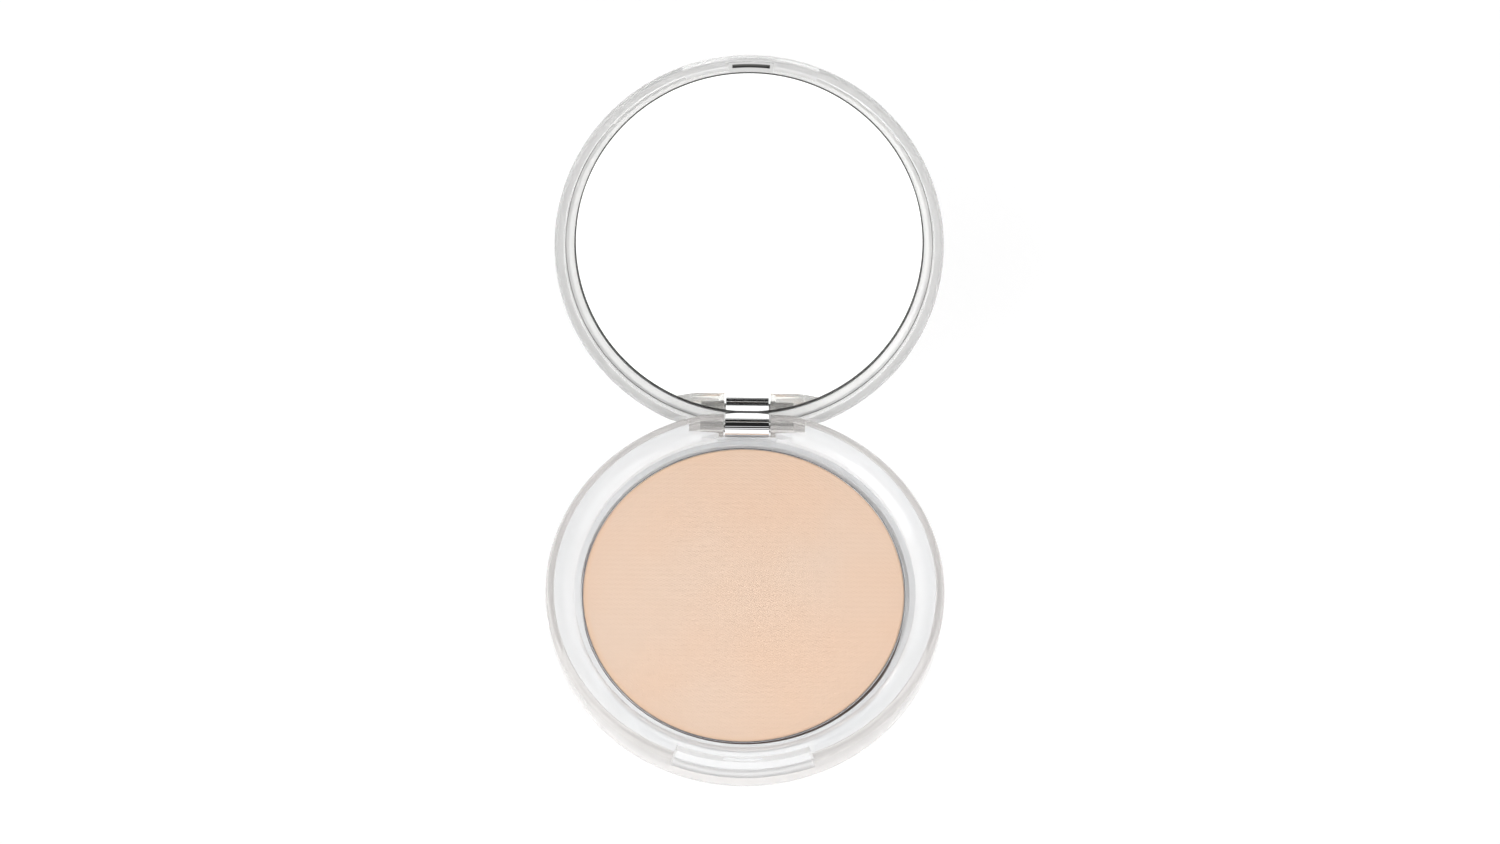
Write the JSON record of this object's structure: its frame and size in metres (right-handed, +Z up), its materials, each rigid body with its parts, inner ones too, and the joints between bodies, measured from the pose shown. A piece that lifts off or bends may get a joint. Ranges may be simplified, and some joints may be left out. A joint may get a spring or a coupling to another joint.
{
  "type": "powder compact",
  "caption": "Round clear pressed-powder compact, shown open: mirrored lid on a chromed rear hinge, metal powder pan in a clear base, front tab latch.",
  "frame": {"origin": "centre of the base's flat underside", "axes": "+Z up through the base, +Y towards the hinge at the rear, -Y towards the latch, X along the hinge pin"},
  "size_m": [0.0731, 0.1247, 0.0567],
  "materials": {
    "clear_plastic": "clear, polished",
    "tray_plastic": "clear, polished",
    "bezel_plastic": "clear, polished",
    "glue": "cured glue",
    "pan_metal": "pressed sheet",
    "powder": "pressed powder with a fine woven texture",
    "label_paper": "blank, satin",
    "pin_steel": "knurled at one end",
    "chrome": "mirror bright",
    "inlay_foil": "satin silver",
    "tape": "foam tape",
    "mirror_glass": "silvered glass"
  },
  "bodies": {
    "base": {"base_shell": "clear_plastic", "base_tray": "tray_plastic", "pan_adhesive": "glue", "powder_pan": "pan_metal", "powder_cake": "powder", "base_label": "label_paper", "hinge_pin": "pin_steel"},
    "lid": {"lid_shell": "clear_plastic", "hinge_block": "chrome", "lid_inlay": "inlay_foil", "mirror_tape": "tape", "mirror": "mirror_glass", "mirror_bezel": "bezel_plastic", "latch_hook": "chrome"}
  },
  "joints": [
    {"name": "lid_hinge", "type": "hinge", "parent": "base", "child": "lid", "pos_m": [0, 0.0339, 0.0073], "axis": [1, 0, 0], "range_deg": [0, 135]}
  ]
}
